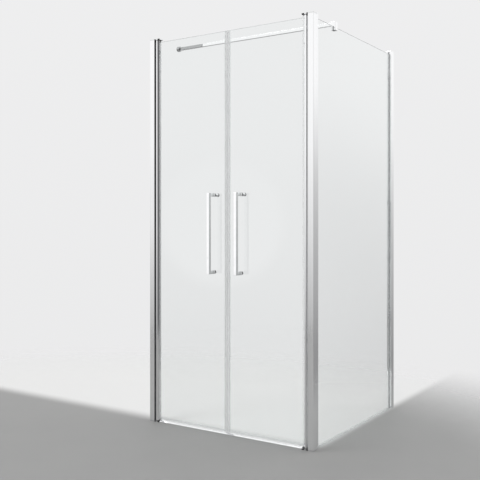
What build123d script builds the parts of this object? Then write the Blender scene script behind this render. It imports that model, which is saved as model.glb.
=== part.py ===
from build123d import *
import os
from math import hypot

# Overall size: jamb to corner across the door, door front to rear wall, floor to profile tops
door_width = 965.0
panel_depth = 965.0
frame_height = 2000.0

# Upright profiles, drawn from one family of aluminium sections
profile_width = 29.7
profile_depth = 35.0
profile_wall = 1.8
profile_edge = 0.8
screw_port_radius = 3.2
glazing_profile_depth = 12.0
glazing_pocket_floor = 2.8

# Wall channels that the jambs slide over
channel_wall = 1.6
channel_leg = 19.0
channel_play = 0.4
rear_channel_clearance = 2.2
channel_end_gap = 40.0
wall_hole_radius = 2.75
wall_hole_pitch = 850.0

# Screws
small_screw_radius = 2.0
small_head_radius = 3.4
small_head_height = 2.0
small_screw_length = 9.0
port_screw_length = 22.0
thread_play = 0.05
clamp_screw_pitch = 700.0

# Bearing plates at both ends of a jamb, and the pins that stand in them
plate_thickness = 6.0
plate_corner = 6.0
pin_radius = 4.0
pin_head_radius = 6.0
pin_head_height = 2.0
pin_length = 20.0
running_play = 0.05
head_recess_play = 0.2

# Hinge tube of a leaf, which turns about its own middle
tube_width = 17.4
tube_depth = 27.9
tube_corner = 2.7
tube_flat_width = 9.6
tube_nose_depth = 13.0
tube_edge = 0.8
tube_wall = 1.6
sweep_gap = 1.05
end_gap = 0.4
bush_flange = 2.0
bush_length = 24.0
bush_play = 0.1
bore_beyond_pin = 2.0
gap_seal_width = 6.0
gap_seal_seat = 1.0
gap_seal_proud = 0.5

# Glass
glass_thickness = 6.0
glass_edge = 0.5
leaf_glass_bottom = 18.0
glass_below_top = 17.0
side_glass_bottom = 3.0

# Clear strips round the glass edges
strip_wall = 1.2
strip_web = 1.0
hinge_strip_reach = 9.8
side_strip_reach = 14.0
rear_pocket_depth = 12.0
floor_strip_leg = 7.0
strip_joint = 0.3

# Magnetic edge seals that meet in the middle
meeting_gap = 0.3
housing_width = 11.2
housing_depth = 12.0
housing_wall = 1.2
clip_leg = 8.0

# Drip seals under the leaves and the threshold rail below them
drip_leg = 8.0
drip_web = 1.5
drip_fin = 1.4
lip_gap = 0.6
rail_width = 31.0
rail_front_height = 5.0
rail_ridge_height = 10.0
rail_ridge_width = 12.0
rail_wall = 1.6

# Handles
handle_section = 16.0
handle_length = 400.0
handle_bottom = 787.0
handle_inset = 80.0
handle_stand_off = 54.0
handle_edge = 0.8
post_height = 18.0
spacer_thickness = 1.5
washer_thickness = 1.0
stud_radius = 3.0
stud_depth = 22.0
glass_hole_radius = 6.0
knob_radius = 9.0
knob_length = 22.0
knob_ring_length = 8.0
inner_cap_height = 4.0
stud_in_cap = 2.5

# Brace bar from the left wall to the top of the side glass
brace_section = 15.0
brace_wall = 1.5
brace_edge = 0.8
brace_setback = 222.5
brace_over_glass = 5.5
brace_play = 0.1
rosette_radius = 14.0
rosette_thickness = 16.0
rosette_hole_radius = 2.5
rosette_hole_depth = 11.0
tongue_thickness = 6.0
tongue_height = 12.0
tongue_length = 21.0
fork_gap = 8.5
fork_length = 22.0
fork_plug_length = 20.0
fork_slot_clearance = 0.1
joint_screw_radius = 2.5
joint_head_radius = 4.0
joint_head_depth = 2.5
clamp_width = 26.0
clamp_depth = 26.0
clamp_above_bar = 2.5
clamp_below_glass_top = 18.0
clamp_socket_depth = 10.0
clamp_pad = 1.0
grub_radius = 2.5
grub_recess = 1.0
grub_spacing = 12.0

# Places worked out from the sizes above, for the left half; the right half mirrors it
glass_top = frame_height - glass_below_top
half_width = door_width / 2
half_depth = profile_depth / 2
wall_x = -half_width
jamb_x = wall_x + profile_width
sweep_radius = hypot(tube_width / 2 - tube_corner, tube_depth / 2 - tube_corner) + tube_corner
axis_x = jamb_x + sweep_radius + sweep_gap
tube_face_x = axis_x + tube_width / 2
plate_end_x = axis_x + sweep_radius + sweep_gap
half_glass = glass_thickness / 2
strip_half = half_glass + strip_wall
leaf_glass_x = (tube_face_x - tube_wall + strip_joint, -meeting_gap - housing_width)
tube_z = (plate_thickness + end_gap + bush_flange, frame_height - plate_thickness - end_gap - bush_flange)
side_x = half_width - profile_width / 2
rear_y = panel_depth - half_depth
rear_face_y = rear_y - profile_depth
bar_z = (glass_top + brace_over_glass, glass_top + brace_over_glass + brace_section)
brace_height = sum(bar_z) / 2


def around(middle, size):
    """The low and high end of a size centred on a place."""
    return (middle - size / 2, middle + size / 2)


def block(x, y, z):
    """A box between low and high ends along X, Y and Z."""
    size = [high - low for low, high in (x, y, z)]
    middle = [(low + high) / 2 for low, high in (x, y, z)]
    return Pos(*middle) * Box(*size)


def plan(x, y):
    """A rectangle seen from above, between low and high ends along X and Y."""
    return Pos(sum(x) / 2, sum(y) / 2) * Rectangle(x[1] - x[0], y[1] - y[0])


def disc(x, y, radius):
    """A circle seen from above."""
    return Pos(x, y) * Circle(radius)


def upright(section, z):
    """A section seen from above, carried up from the low to the high end of z."""
    return Pos(0, 0, z[0]) * extrude(section, z[1] - z[0])


def rod(axis, place, ends, radius):
    """A round rod along X, Y or Z; place gives its two other coordinates in X, Y, Z order."""
    middle = (ends[0] + ends[1]) / 2
    cylinder = Cylinder(radius, ends[1] - ends[0])
    if axis == "X":
        return Pos(middle, *place) * Rot(0, 90, 0) * cylinder
    if axis == "Y":
        return Pos(place[0], middle, place[1]) * Rot(90, 0, 0) * cylinder
    return Pos(*place, middle) * cylinder


def edged_bar(x, y, z, radius):
    """A square bar whose long and short edges are all slightly rounded."""
    bar = block(x, y, z)
    return fillet(bar.edges(), radius)


def pane(x, y, z):
    """A sheet of toughened glass with ground edges."""
    sheet = block(x, y, z)
    return chamfer(sheet.edges(), glass_edge)


def upside_down(piece):
    """The same piece at the other end of the height."""
    return mirror(piece, about=Plane.XY.offset(frame_height / 2))


def tube_outline(inset):
    """The hinge tube's outline, drawn in by an inset: flat at the front, slanting in towards the glass."""
    back, nose = -tube_width / 2, tube_width / 2
    front = [(back, tube_depth / 2), (back + tube_flat_width, tube_depth / 2), (nose, tube_nose_depth / 2)]
    rear = [(x, -y) for x, y in reversed(front)]
    outline = offset(make_face(Polyline(*front, *rear, close=True)), -inset, kind=Kind.INTERSECTION)
    corners = outline.vertices().group_by(Axis.X)
    outline = fillet(corners[0], tube_corner - inset)
    outline = fillet(outline.vertices().group_by(Axis.X)[-1], tube_edge)
    return Pos(axis_x, 0) * outline


# Left jamb


def screw_port_places():
    """The two screw ports in a jamb's inner corners."""
    x = jamb_x - profile_wall - screw_port_radius + profile_edge
    y = half_depth - profile_wall - screw_port_radius + profile_edge
    return [(x, -y), (x, y)]


def with_ports_and_groove(section):
    """Adds the screw ports and the groove of the gap seal to a jamb's section."""
    for x, y in screw_port_places():
        section += disc(x, y, screw_port_radius)
    for x, y in screw_port_places():
        section -= disc(x, y, small_screw_radius + thread_play)
    groove_x = (jamb_x - gap_seal_seat, jamb_x + gap_seal_seat)
    return section - plan(groove_x, around(0, gap_seal_width))


def jamb_outline():
    """The outside of a jamb, with slightly rounded corners."""
    outline = RectangleRounded(profile_width, profile_depth, profile_edge)
    return Pos(wall_x + profile_width / 2, 0) * outline


def jamb_z():
    """A jamb stands between its two bearing plates."""
    return (plate_thickness, frame_height - plate_thickness)


def clamp_screw_heights():
    """Three heights, evenly spaced about the middle."""
    return [frame_height / 2 + step * clamp_screw_pitch for step in (-1, 0, 1)]


def clamp_screw_x():
    """The jamb's clamping screws stand in the middle of the channel's leg."""
    return wall_x + channel_leg / 2


def left_jamb_profile():
    """Open towards the wall, so that it slides over the wall channel."""
    inside_y = 2 * (half_depth - profile_wall)
    hollow = plan((wall_x - profile_wall, jamb_x - profile_wall), around(0, inside_y))
    profile = upright(with_ports_and_groove(jamb_outline() - hollow), jamb_z())
    for z in clamp_screw_heights():
        ends = (half_depth - 2 * profile_wall, half_depth + profile_wall)
        profile -= rod("Y", (clamp_screw_x(), z), ends, small_screw_radius + thread_play)
    return profile


def left_wall_channel():
    """A channel screwed to the wall; its rear leg bears on the jamb's rear wall."""
    y = (-half_depth + profile_wall + channel_play, half_depth - profile_wall)
    z = (channel_end_gap, frame_height - channel_end_gap)
    channel = block((wall_x, wall_x + channel_leg), y, z)
    inside_y = (y[0] + channel_wall, y[1] - channel_wall)
    channel -= block((wall_x + channel_wall, wall_x + channel_leg + channel_wall), inside_y, z)
    for step in (-1, 0, 1):
        height = frame_height / 2 + step * wall_hole_pitch
        ends = (wall_x - channel_wall, wall_x + 2 * channel_wall)
        channel -= rod("X", (0, height), ends, wall_hole_radius)
    for height in clamp_screw_heights():
        ends = (y[1] - 2 * channel_wall, y[1] + channel_wall)
        channel -= rod("Y", (clamp_screw_x(), height), ends, small_screw_radius + thread_play)
    return channel


def left_clamp_screws():
    """Pan-head screws that hold the left jamb on its channel, driven from inside the shower."""
    screws = []
    for z in clamp_screw_heights():
        place = (clamp_screw_x(), z)
        head = rod("Y", place, (half_depth, half_depth + small_head_height), small_head_radius)
        shank = rod("Y", place, (half_depth - small_screw_length, half_depth), small_screw_radius)
        screws.append(head + shank)
    return screws


def gap_seal():
    """A soft strip in the jamb's groove, facing the hinge tube."""
    x = (jamb_x - gap_seal_seat, jamb_x + gap_seal_proud)
    return upright(plan(x, around(0, gap_seal_width)), jamb_z())


# Bearing plates, pins and their screws


def bearing_foot():
    """The plate under a jamb, whose arm reaches under the hinge tube and holds the lower pin."""
    arm_x = (jamb_x - plate_corner, plate_end_x)
    arm = RectangleRounded(arm_x[1] - arm_x[0], rail_width, profile_edge)
    outline = jamb_outline() + Pos(sum(arm_x) / 2, 0) * arm
    foot = upright(outline, (0, plate_thickness))
    foot -= rod("Z", (axis_x, 0), (0, plate_thickness), pin_radius + thread_play)
    foot -= rod("Z", (axis_x, 0), (0, pin_head_height), pin_head_radius + thread_play)
    for place in screw_port_places():
        foot -= rod("Z", place, (0, plate_thickness), small_screw_radius + thread_play)
        foot -= rod("Z", place, (0, small_head_height), small_head_radius + thread_play)
    return foot


def pivot_pins():
    """A headed pin in each plate, reaching into the ends of the hinge tube."""
    head = rod("Z", (axis_x, 0), (head_recess_play, pin_head_height), pin_head_radius)
    shank = rod("Z", (axis_x, 0), (pin_head_height, plate_thickness + pin_length), pin_radius)
    lower = head + shank
    return Compound([lower, upside_down(lower)])


def bearing_screws():
    """Screws that hold the plates on, driven along the jamb into its screw ports."""
    screws = []
    for place in screw_port_places():
        shank_z = (small_head_height, small_head_height + port_screw_length)
        head = rod("Z", place, (head_recess_play, small_head_height), small_head_radius)
        shank = rod("Z", place, shank_z, small_screw_radius)
        screws.append(head + shank)
        screws.append(upside_down(head + shank))
    return Compound(screws)


# Hinge tube of a leaf


def hinge_tube():
    """A slim tube with a groove down its nose, into which the glass edge is bonded."""
    groove = plan((tube_face_x - 2 * tube_wall, tube_face_x + tube_wall), around(0, 2 * strip_half))
    return upright(tube_outline(0) - tube_outline(tube_wall) - groove, tube_z)


def pivot_bushes():
    """Plastic end pieces of the tube, each bored to run on its pin."""
    flange = upright(tube_outline(0), (tube_z[0] - bush_flange, tube_z[0]))
    plug = upright(tube_outline(tube_wall + bush_play), (tube_z[0], tube_z[0] + bush_length))
    bore_end = plate_thickness + pin_length + bore_beyond_pin
    bore = rod("Z", (axis_x, 0), (0, bore_end), pin_radius + running_play)
    lower = flange + plug - bore
    return Compound([lower, upside_down(lower)])


def hinge_strip():
    """Two clear strips that bed the glass in the tube's groove and run out over its faces."""
    x = (leaf_glass_x[0], tube_face_x + hinge_strip_reach)
    strips = []
    for side in (-1, 1):
        y = sorted((side * half_glass, side * strip_half))
        strips.append(upright(plan(x, y), (seal_z()[0], tube_z[1])))
    return Compound(strips)


# Leaf glass and its seals


def handle_x():
    """The handle's middle, measured from where the leaves meet."""
    return -handle_inset


def post_middles():
    """Heights of the handle's two fixings, which are flush with the ends of its bar."""
    low = handle_bottom + post_height / 2
    return [low, handle_bottom + handle_length - post_height / 2]


def leaf_glass():
    """The pane of a leaf, drilled for the handle."""
    sheet = pane(leaf_glass_x, around(0, glass_thickness), (leaf_glass_bottom, glass_top))
    for z in post_middles():
        sheet -= rod("Y", (handle_x(), z), around(0, 2 * glass_thickness), glass_hole_radius)
    return sheet


def seal_z():
    """Strips and edge seals run from just above the threshold rail to the top of the glass."""
    return (rail_ridge_height + lip_gap, glass_top)


def edge_seal():
    """A clear housing for the magnet, with two clip legs that grip the glass edge."""
    x = (leaf_glass_x[1], -meeting_gap)
    housing = plan(x, around(0, housing_depth))
    inside_x = (x[0] + housing_wall, x[1] - housing_wall)
    housing -= plan(inside_x, around(0, housing_depth - 2 * housing_wall))
    for side in (-1, 1):
        y = sorted((side * half_glass, side * strip_half))
        housing += plan((x[0] - clip_leg, x[0]), y)
    return upright(housing, seal_z())


def edge_magnet():
    """The magnetic strip that fills the housing."""
    x = (leaf_glass_x[1] + housing_wall, -meeting_gap - housing_wall)
    return upright(plan(x, around(0, housing_depth - 2 * housing_wall)), seal_z())


def drip_seal():
    """A clear clip under the glass, with a fin that hangs down to the threshold rail."""
    x = (tube_face_x + hinge_strip_reach + strip_joint, leaf_glass_x[1] - clip_leg - strip_joint)
    web_z = (leaf_glass_bottom - drip_web, leaf_glass_bottom)
    seal = block(x, around(0, 2 * strip_half), web_z)
    for side in (-1, 1):
        y = sorted((side * half_glass, side * strip_half))
        seal += block(x, y, (leaf_glass_bottom - drip_web, leaf_glass_bottom + drip_leg))
    fin_z = (rail_ridge_height + lip_gap, leaf_glass_bottom - drip_web)
    return seal + block(x, around(0, drip_fin), fin_z)


# Handle of a leaf


def handle_faces():
    """Places along Y: the bar's front, the bar's back and the posts' ends at the spacers."""
    front = -half_glass - handle_stand_off
    return (front, front + handle_section, -half_glass - spacer_thickness)


def handle_bar():
    """The upright square grip bar."""
    front, back, _ = handle_faces()
    z = (handle_bottom, handle_bottom + handle_length)
    return edged_bar(around(handle_x(), handle_section), (front, back), z, handle_edge)


def stud_ends():
    """The studs start inside the posts; the upper one ends in the knob, the lower one in its cap."""
    _, _, post_end = handle_faces()
    start = post_end - stud_depth
    inner_face = half_glass + washer_thickness
    return [(start, inner_face + stud_in_cap), (start, inner_face + knob_length)]


def handle_posts():
    """Two square posts that carry the bar off the glass, tapped for the studs."""
    _, back, post_end = handle_faces()
    posts = []
    for z, ends in zip(post_middles(), stud_ends()):
        post = block(around(handle_x(), handle_section), (back, post_end), around(z, post_height))
        post -= rod("Y", (handle_x(), z), (ends[0], post_end), stud_radius + thread_play)
        posts.append(post)
    return Compound(posts)


def handle_spacers():
    """Dark square spacers outside the glass and round washers inside it."""
    _, _, post_end = handle_faces()
    pieces = []
    for z in post_middles():
        place = (handle_x(), z)
        hole = rod("Y", place, (-handle_stand_off, handle_stand_off), stud_radius + thread_play)
        outer = block(around(handle_x(), handle_section), (post_end, -half_glass), around(z, post_height))
        inner = rod("Y", place, (half_glass, half_glass + washer_thickness), knob_radius)
        pieces.append(outer - hole)
        pieces.append(inner - hole)
    return Compound(pieces)


def handle_studs():
    """Threaded studs through the glass, drawn as plain rods."""
    studs = [rod("Y", (handle_x(), z), ends, stud_radius) for z, ends in zip(post_middles(), stud_ends())]
    return Compound(studs)


def inner_knob():
    """The grip inside the shower, on the upper stud."""
    place = (handle_x(), post_middles()[1])
    start = half_glass + washer_thickness
    knob = rod("Y", place, (start, start + knob_length), knob_radius)
    return knob - rod("Y", place, (start, start + knob_length), stud_radius + thread_play)


def knob_ring():
    """The dark end of the inner knob."""
    start = half_glass + washer_thickness + knob_length
    ring = rod("Y", (handle_x(), post_middles()[1]), (start, start + knob_ring_length), knob_radius)
    return fillet(ring.edges().sort_by(Axis.Y)[-1], handle_edge)


def inner_cap():
    """The flat cap nut on the lower stud."""
    place = (handle_x(), post_middles()[0])
    start = half_glass + washer_thickness
    cap = rod("Y", place, (start, start + inner_cap_height), knob_radius)
    cap = fillet(cap.edges().sort_by(Axis.Y)[-1], handle_edge)
    return cap - rod("Y", place, (start, start + stud_in_cap), stud_radius + thread_play)


# Threshold rail


def threshold_rail():
    """A low hollow rail with a flat ridge, between the two lower bearing plates."""
    half = rail_width / 2
    ridge = rail_ridge_width / 2
    right = [(half, 0), (half, rail_front_height), (ridge, rail_ridge_height)]
    left = [(-y, z) for y, z in reversed(right)]
    outline = make_face(Polyline(*right, *left, close=True))
    section = outline - offset(outline, -rail_wall)
    length = -2 * plate_end_x
    return Pos(plate_end_x, 0, 0) * extrude(Plane.YZ * section, length)


# Corner post: the right jamb and the glazing profile behind it


def right_jamb_profile():
    """A closed tube, drawn here on the left and mirrored when it is written."""
    inside = (wall_x + profile_wall, jamb_x - profile_wall)
    hollow = plan(inside, around(0, 2 * (half_depth - profile_wall)))
    profile = upright(with_ports_and_groove(jamb_outline() - hollow), jamb_z())
    for z in clamp_screw_heights():
        ends = (half_depth - 2 * profile_wall, half_depth + profile_wall)
        profile -= rod("Y", (-side_x, z), ends, small_screw_radius + thread_play)
    return profile


def glazing_floor_y():
    """The floor of the glazing profile's pocket."""
    return half_depth + glazing_pocket_floor


def glazing_outline():
    """The outside of the glazing profile, flush with the corner post's faces."""
    return plan(around(side_x, profile_width), (half_depth, half_depth + glazing_profile_depth))


def side_glazing_profile():
    """Holds the side glass behind the post; screwed to the post from inside its pocket."""
    back_y = half_depth + glazing_profile_depth
    section = glazing_outline()
    section -= plan(around(side_x, 2 * strip_half), (glazing_floor_y(), back_y))
    for side in (-1, 1):
        near = side_x + side * (strip_half + profile_wall)
        far = side_x + side * (profile_width / 2 - profile_wall)
        section -= plan(sorted((near, far)), (glazing_floor_y(), back_y - profile_wall))
    profile = upright(section, (0, frame_height - plate_thickness))
    for z in clamp_screw_heights():
        shank_y = (half_depth, glazing_floor_y())
        head_y = (glazing_floor_y() - small_head_height, glazing_floor_y())
        profile -= rod("Y", (side_x, z), shank_y, small_screw_radius + thread_play)
        profile -= rod("Y", (side_x, z), head_y, small_head_radius + thread_play)
    return profile


def corner_screws():
    """Sunk screws that join the glazing profile to the corner post."""
    head_end = glazing_floor_y() - head_recess_play
    seat = glazing_floor_y() - small_head_height
    screws = []
    for z in clamp_screw_heights():
        head = rod("Y", (side_x, z), (seat, head_end), small_head_radius)
        shank = rod("Y", (side_x, z), (seat - small_screw_length, seat), small_screw_radius)
        screws.append(head + shank)
    return Compound(screws)


def glazing_profile_cap():
    """Closes the top of the glazing profile, level with the bearing plate beside it."""
    return upright(glazing_outline(), (frame_height - plate_thickness, frame_height))


# Side panel


def side_glass_y():
    """The side glass ends against the strips in its two pockets."""
    return (glazing_floor_y() + strip_web, rear_face_y + rear_pocket_depth - strip_web)


def side_glass():
    """The fixed pane of the side panel."""
    return pane(around(side_x, glass_thickness), side_glass_y(), (side_glass_bottom, glass_top))


def channel_strip(y, z, web_low):
    """A clear strip of U section round one upright edge of the side glass."""
    strip = plan(around(side_x, 2 * strip_half), y)
    inside_y = (y[0] + strip_web, y[1]) if web_low else (y[0], y[1] - strip_web)
    return upright(strip - plan(around(side_x, glass_thickness), inside_y), z)


def side_front_strip():
    """Beds the side glass in the glazing profile and runs out over its faces."""
    end = half_depth + glazing_profile_depth + side_strip_reach
    return channel_strip((glazing_floor_y(), end), (side_glass_bottom, glass_top), True)


def side_rear_strip():
    """Beds the side glass in the rear jamb."""
    start = rear_face_y - side_strip_reach
    end = rear_face_y + rear_pocket_depth
    return channel_strip((start, end), (side_glass_bottom, glass_top), False)


def side_floor_strip():
    """A clear strip under the side glass."""
    start = half_depth + glazing_profile_depth + side_strip_reach + strip_joint
    y = (start, rear_face_y - side_strip_reach - strip_joint)
    strip = block(around(side_x, 2 * strip_half), y, (0, side_glass_bottom + floor_strip_leg))
    return strip - block(
        around(side_x, glass_thickness), y, (side_glass_bottom, side_glass_bottom + floor_strip_leg)
    )


# Rear jamb on its wall channel


def rear_jamb_profile():
    """Open towards the rear wall, with a pocket for the side glass in its front wall."""
    section = plan(around(side_x, profile_width), (rear_face_y, rear_y))
    inside_x = around(side_x, profile_width - 2 * profile_wall)
    section -= plan(inside_x, (rear_face_y + profile_wall, rear_y))
    pocket_end = rear_face_y + rear_pocket_depth
    section += plan(around(side_x, 2 * (strip_half + profile_wall)), (rear_face_y, pocket_end + profile_wall))
    section -= plan(around(side_x, 2 * strip_half), (rear_face_y, pocket_end))
    profile = upright(section, (0, frame_height - plate_thickness))
    face = side_x - profile_width / 2
    for z in clamp_screw_heights():
        ends = (face - profile_wall, face + 2 * profile_wall)
        profile -= rod("X", (rear_screw_y(), z), ends, small_screw_radius + thread_play)
    return profile


def rear_channel_leg():
    """The rear channel's legs stop short of the glass pocket."""
    return profile_depth - rear_pocket_depth - profile_wall - rear_channel_clearance


def rear_screw_y():
    """The rear clamping screws stand in the middle of the channel's leg."""
    return rear_y - rear_channel_leg() / 2


def rear_wall_channel():
    """A channel screwed to the rear wall; one leg bears on the jamb's inner side wall."""
    inner = side_x - profile_width / 2 + profile_wall
    x = (inner, side_x + profile_width / 2 - profile_wall - channel_play)
    z = (channel_end_gap, frame_height - channel_end_gap)
    y = (rear_y - rear_channel_leg(), rear_y)
    channel = block(x, y, z)
    inside_x = (x[0] + channel_wall, x[1] - channel_wall)
    channel -= block(inside_x, (y[0] - channel_wall, y[1] - channel_wall), z)
    for step in (-1, 0, 1):
        height = frame_height / 2 + step * wall_hole_pitch
        ends = (rear_y - 2 * channel_wall, rear_y + channel_wall)
        channel -= rod("Y", (side_x, height), ends, wall_hole_radius)
    for height in clamp_screw_heights():
        ends = (inner - channel_wall, inner + 2 * channel_wall)
        channel -= rod("X", (rear_screw_y(), height), ends, small_screw_radius + thread_play)
    return channel


def rear_clamp_screws():
    """The same pan-head screws, holding the rear jamb on its channel."""
    face = side_x - profile_width / 2
    screws = []
    for z in clamp_screw_heights():
        place = (rear_screw_y(), z)
        head = rod("X", place, (face - small_head_height, face), small_head_radius)
        shank = rod("X", place, (face, face + small_screw_length), small_screw_radius)
        screws.append(head + shank)
    return screws


def rear_jamb_cap():
    """Closes the top of the rear jamb."""
    outline = plan(around(side_x, profile_width), (rear_face_y, rear_y))
    return upright(outline, (frame_height - plate_thickness, frame_height))


# Brace bar


def rosette_face_x():
    """The rosette's face towards the shower."""
    return wall_x + rosette_thickness


def joint_screw_x():
    """The brace's joint screw passes through the rounded end of the tongue."""
    return rosette_face_x() + tongue_length - tongue_height / 2


def fork_x():
    """The fork's two ends along the bar."""
    start = rosette_face_x() + fork_gap
    return (start, start + fork_length)


def brace_rosette():
    """A round wall plate with a flat tongue that the brace's fork fits over."""
    place = (brace_setback, brace_height)
    face = rosette_face_x()
    disc_part = rod("X", place, (wall_x, face), rosette_radius)
    disc_part = fillet(disc_part.edges().sort_by(Axis.X)[-1], brace_edge)
    y = around(brace_setback, tongue_thickness)
    tongue = block((face, joint_screw_x()), y, around(brace_height, tongue_height))
    tongue += rod("Y", (joint_screw_x(), brace_height), y, tongue_height / 2)
    rosette = disc_part + tongue
    rosette -= rod("X", place, (wall_x, wall_x + rosette_hole_depth), rosette_hole_radius)
    return rosette - rod("Y", (joint_screw_x(), brace_height), y, joint_screw_radius + thread_play)


def brace_fork():
    """A slotted square end piece; its plug fills the end of the bar."""
    start, end = fork_x()
    y = around(brace_setback, brace_section)
    fork = block((start, end), y, bar_z)
    slot_y = around(brace_setback, tongue_thickness + 2 * fork_slot_clearance)
    slot_end = rosette_face_x() + tongue_length + tongue_thickness / 2
    fork -= block((start, slot_end), slot_y, bar_z)
    plug = brace_section - 2 * brace_wall - 2 * brace_play
    fork += block((end, end + fork_plug_length), around(brace_setback, plug), around(brace_height, plug))
    place = (joint_screw_x(), brace_height)
    fork -= rod("Y", place, y, joint_screw_radius + thread_play)
    return fork - rod("Y", place, (y[0], y[0] + joint_head_depth), joint_head_radius + thread_play)


def brace_joint_screw():
    """Clamps the fork on the tongue; its head is sunk in the fork's front face."""
    y = around(brace_setback, brace_section)
    place = (joint_screw_x(), brace_height)
    seat = y[0] + joint_head_depth
    head = rod("Y", place, (y[0] + head_recess_play, seat), joint_head_radius)
    return head + rod("Y", place, (seat, y[1] - head_recess_play), joint_screw_radius)


def clamp_face_x():
    """The glass clamp's face towards the shower."""
    return side_x - clamp_width / 2


def brace_bar():
    """A square tube from the fork to the socket in the glass clamp."""
    x = (fork_x()[1], clamp_face_x() + clamp_socket_depth)
    bar = edged_bar(x, around(brace_setback, brace_section), bar_z, brace_edge)
    inside = brace_section - 2 * brace_wall
    return bar - block(x, around(brace_setback, inside), around(brace_height, inside))


def clamp_z():
    """The clamp grips the glass below and holds the bar above."""
    return (glass_top - clamp_below_glass_top, bar_z[1] + clamp_above_bar)


def grub_y():
    """The clamp's two grub screws, side by side along the glass."""
    return around(brace_setback, grub_spacing)


def grub_z():
    """The grub screws press in the middle of the clamp's slot."""
    return glass_top - clamp_below_glass_top / 2


def brace_glass_clamp():
    """A block slotted to sit on the side glass, with a socket for the bar."""
    clamp = edged_bar(around(side_x, clamp_width), around(brace_setback, clamp_depth), clamp_z(), brace_edge)
    slot_x = around(side_x, glass_thickness + 2 * clamp_pad)
    clamp -= block(slot_x, around(brace_setback, 2 * clamp_depth), (clamp_z()[0], glass_top + clamp_pad))
    socket = brace_section + 2 * brace_play
    socket_x = (clamp_face_x(), clamp_face_x() + clamp_socket_depth)
    clamp -= block(socket_x, around(brace_setback, socket), around(brace_height, socket))
    for y in grub_y():
        clamp -= rod("X", (y, grub_z()), (clamp_face_x(), side_x), grub_radius + thread_play)
    return clamp


def brace_clamp_pad():
    """A rubber lining between the clamp and the glass."""
    y = around(brace_setback, clamp_depth - 2 * brace_edge)
    z = (clamp_z()[0], glass_top + clamp_pad)
    pad = block(around(side_x, glass_thickness + 2 * clamp_pad), y, z)
    return pad - block(around(side_x, glass_thickness), y, (z[0], glass_top))


def brace_grub_screws():
    """Two grub screws that press the pad on the glass."""
    start = clamp_face_x() + grub_recess
    end = side_x - half_glass - clamp_pad
    return Compound([rod("X", (y, grub_z()), (start, end), grub_radius) for y in grub_y()])


# Writing the pieces


def other_side(piece):
    """The same piece mirrored to the right half."""
    return mirror(piece, about=Plane.YZ)


def both_sides():
    """Pieces that both halves of the door have."""
    foot = bearing_foot()
    return {
        "bearing_foot": foot,
        "bearing_cap": upside_down(foot),
        "bearing_screws": bearing_screws(),
        "pivot_pins": pivot_pins(),
        "gap_seal": gap_seal(),
        "hinge_tube": hinge_tube(),
        "pivot_bushes": pivot_bushes(),
        "hinge_strip": hinge_strip(),
        "leaf_glass": leaf_glass(),
        "edge_seal": edge_seal(),
        "edge_magnet": edge_magnet(),
        "drip_seal": drip_seal(),
        "handle_bar": handle_bar(),
        "handle_posts": handle_posts(),
        "handle_spacers": handle_spacers(),
        "handle_studs": handle_studs(),
        "inner_knob": inner_knob(),
        "knob_ring": knob_ring(),
        "inner_cap": inner_cap(),
    }


def single_pieces():
    """Pieces that the object has once."""
    return {
        "left_wall_channel": left_wall_channel(),
        "left_jamb_profile": left_jamb_profile(),
        "right_jamb_profile": other_side(right_jamb_profile()),
        "side_glazing_profile": side_glazing_profile(),
        "corner_screws": corner_screws(),
        "glazing_profile_cap": glazing_profile_cap(),
        "side_glass": side_glass(),
        "side_front_strip": side_front_strip(),
        "side_rear_strip": side_rear_strip(),
        "side_floor_strip": side_floor_strip(),
        "rear_wall_channel": rear_wall_channel(),
        "rear_jamb_profile": rear_jamb_profile(),
        "jamb_clamp_screws": Compound(left_clamp_screws() + rear_clamp_screws()),
        "rear_jamb_cap": rear_jamb_cap(),
        "threshold_rail": threshold_rail(),
        "brace_rosette": brace_rosette(),
        "brace_fork": brace_fork(),
        "brace_joint_screw": brace_joint_screw(),
        "brace_bar": brace_bar(),
        "brace_glass_clamp": brace_glass_clamp(),
        "brace_clamp_pad": brace_clamp_pad(),
        "brace_grub_screws": brace_grub_screws(),
    }


os.makedirs("parts", exist_ok=True)
pieces = single_pieces()
for name, piece in both_sides().items():
    pieces["left_" + name] = piece
    pieces["right_" + name] = other_side(piece)
for name, piece in pieces.items():
    export_step(piece, "parts/" + name + ".step")
print(len(pieces), "pieces written")
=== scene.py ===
import bmesh
import bpy
import numpy as np
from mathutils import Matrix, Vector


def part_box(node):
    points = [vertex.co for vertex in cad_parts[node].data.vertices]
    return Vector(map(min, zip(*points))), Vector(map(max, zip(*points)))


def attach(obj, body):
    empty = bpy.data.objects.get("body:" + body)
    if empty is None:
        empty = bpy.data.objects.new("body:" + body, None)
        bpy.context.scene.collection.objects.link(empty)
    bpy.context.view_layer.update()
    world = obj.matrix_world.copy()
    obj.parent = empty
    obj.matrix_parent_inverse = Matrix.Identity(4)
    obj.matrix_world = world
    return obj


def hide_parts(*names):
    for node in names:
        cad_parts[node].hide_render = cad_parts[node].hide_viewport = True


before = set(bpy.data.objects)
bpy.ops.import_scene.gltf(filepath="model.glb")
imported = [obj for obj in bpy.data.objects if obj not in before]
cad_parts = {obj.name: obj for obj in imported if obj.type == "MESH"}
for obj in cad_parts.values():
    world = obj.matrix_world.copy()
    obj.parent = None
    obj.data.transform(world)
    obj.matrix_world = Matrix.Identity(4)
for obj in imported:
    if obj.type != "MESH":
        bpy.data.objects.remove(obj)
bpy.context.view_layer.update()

# Wall channels. Thin aluminium extrusions with a mill finish, screwed to the walls before
# anything else. The jambs slide over them, so little more than their ends can be seen.


def add_node(tree, kind, inputs=None, **settings):
    """Adds a shader node. An input is linked where its value is a socket, and set where it is a number."""
    made = tree.nodes.new("ShaderNode" + kind)
    for name, value in settings.items():
        setattr(made, name, value)
    for name, value in (inputs or {}).items():
        if isinstance(value, bpy.types.NodeSocket):
            tree.links.new(value, made.inputs[name])
        else:
            made.inputs[name].default_value = value
    return made


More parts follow.
